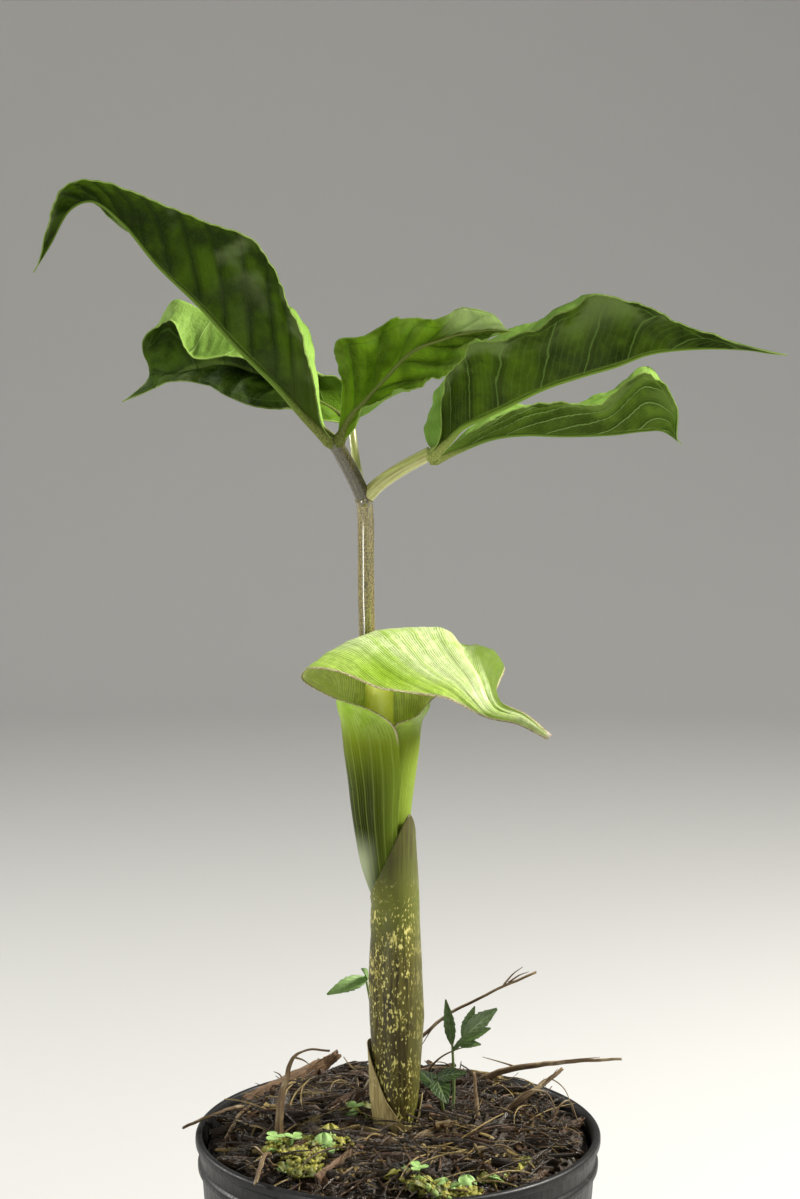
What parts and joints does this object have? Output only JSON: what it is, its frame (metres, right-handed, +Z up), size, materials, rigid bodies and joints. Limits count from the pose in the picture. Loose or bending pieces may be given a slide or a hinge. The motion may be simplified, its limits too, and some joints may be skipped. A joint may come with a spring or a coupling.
{
  "type": "potted arisaema",
  "caption": "Flowering arisaema with a mottled stem, a hooded lime green spathe and a leaf of broad leaflets, in a round black nursery pot with bark mulch.",
  "frame": {"origin": "centre of the pot's flat underside", "axes": "+Z up, the flower's mouth faces -Y, +X to the flower's right as the viewer sees it"},
  "size_m": [0.288, 0.1658, 0.5216],
  "materials": {
    "pot": "black moulded plastic, satin",
    "soil": "dark damp potting mix of bark and peat",
    "bark": "dark wet bark and fibre",
    "red_bark": "reddish dry bark",
    "dry_stem": "dry straw and wood fibre",
    "moss": "soft yellow green moss",
    "weed": "thin soft leaf",
    "papery": "papery dry scale leaf",
    "mottled": "olive brown with cream flecks, satin",
    "petiole": "olive brown, fine dark speckle, glossy",
    "leaf": "green living leaf, satin, translucent",
    "spathe": "pale lime green flower sheath, glossy",
    "spadix": "pale yellow green, smooth"
  },
  "bodies": {
    "root": {"pot": "pot", "soil": "soil", "bark_mulch": "bark", "red_bark_strip": "red_bark", "bark_stub": "red_bark", "front_strip": "red_bark", "hooked_stem": "dry_stem", "long_splinter": "dry_stem", "diagonal_splinter": "dry_stem", "upright_splinter": "dry_stem", "forked_twig": "dry_stem", "rim_strip": "dry_stem", "left_twig": "dry_stem", "pale_straw": "dry_stem", "moss_left": "moss", "moss_front": "moss", "moss_foot": "moss", "weed_left": "weed", "weed_right": "weed", "weed_low": "weed", "basal_sheath": "papery", "pseudostem": "mottled", "petiole": "petiole", "leaflet_upper_left": "leaf", "leaflet_rear_left": "leaf", "leaflet_middle": "leaf", "leaflet_upper_right": "leaf", "leaflet_lower_right": "leaf", "spathe": "spathe", "spadix": "spadix"}
  },
  "joints": []
}
